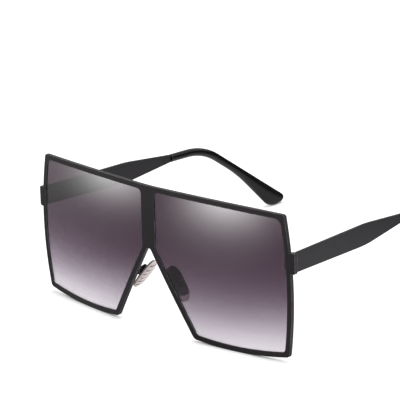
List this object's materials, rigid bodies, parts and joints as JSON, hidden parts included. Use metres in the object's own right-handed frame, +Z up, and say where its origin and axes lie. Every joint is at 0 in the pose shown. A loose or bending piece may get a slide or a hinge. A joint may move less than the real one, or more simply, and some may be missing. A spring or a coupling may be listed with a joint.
{
  "type": "sunglasses",
  "caption": "Oversized flat-top sunglasses with thin metal rims, gradient lenses, folding strip temples with bent tips, and rocking nose pads on wire arms.",
  "frame": {"origin": "centre of the bounding box's bottom, on the surface that the lower rims and the tips rest on", "axes": "+X towards the wearer's left, +Y from the front towards the ears, +Z up"},
  "size_m": [0.1498, 0.1524, 0.0642],
  "materials": {
    "frame_paint": "satin black paint",
    "temple_paint": "satin black paint",
    "hinge_paint": "satin black paint",
    "screw_steel": "dark steel",
    "lens_tint": "tint that fades from dark violet-brown at the top to nearly clear at the bottom",
    "tip_plastic": "gloss black",
    "pad_clear": "clear soft silicone",
    "core_dark": "dark moulded plastic"
  },
  "bodies": {
    "front": {"front_frame": "frame_paint", "lens_left": "lens_tint", "lens_right": "lens_tint", "hinge_front_leaf_left": "hinge_paint", "hinge_front_leaf_right": "hinge_paint", "hinge_screw_left": "screw_steel", "hinge_screw_right": "screw_steel", "nose_pad_arm_left": "hinge_paint", "nose_pad_arm_right": "hinge_paint", "nose_pad_box_left": "hinge_paint", "nose_pad_box_right": "hinge_paint", "nose_pad_screw_left": "screw_steel", "nose_pad_screw_right": "screw_steel"},
    "temple_left_arm": {"temple_left": "temple_paint", "temple_tip_left": "tip_plastic", "hinge_temple_leaf_left": "hinge_paint"},
    "temple_right_arm": {"temple_right": "temple_paint", "temple_tip_right": "tip_plastic", "hinge_temple_leaf_right": "hinge_paint"},
    "pad_left": {"nose_pad_left": "pad_clear", "nose_pad_core_left": "core_dark"},
    "pad_right": {"nose_pad_right": "pad_clear", "nose_pad_core_right": "core_dark"}
  },
  "joints": [
    {"name": "temple_left_fold", "type": "hinge", "parent": "front", "child": "temple_left_arm", "pos_m": [0.0704, -0.06359, 0.04325], "axis": [0, 0, 1], "range_deg": [0, 86.8]},
    {"name": "temple_right_fold", "type": "hinge", "parent": "front", "child": "temple_right_arm", "pos_m": [-0.0704, -0.06359, 0.04325], "axis": [0, 0, -1], "range_deg": [0, 82]},
    {"name": "nose_pad_left_rock", "type": "hinge", "parent": "front", "child": "pad_left", "pos_m": [0.01221, -0.07005, 0.02224], "axis": [0.1688, 0.9848, -0.0401], "range_deg": [-10, 10]},
    {"name": "nose_pad_right_rock", "type": "hinge", "parent": "front", "child": "pad_right", "pos_m": [-0.01221, -0.07005, 0.02224], "axis": [-0.1688, 0.9848, -0.0401], "range_deg": [-10, 10]}
  ]
}
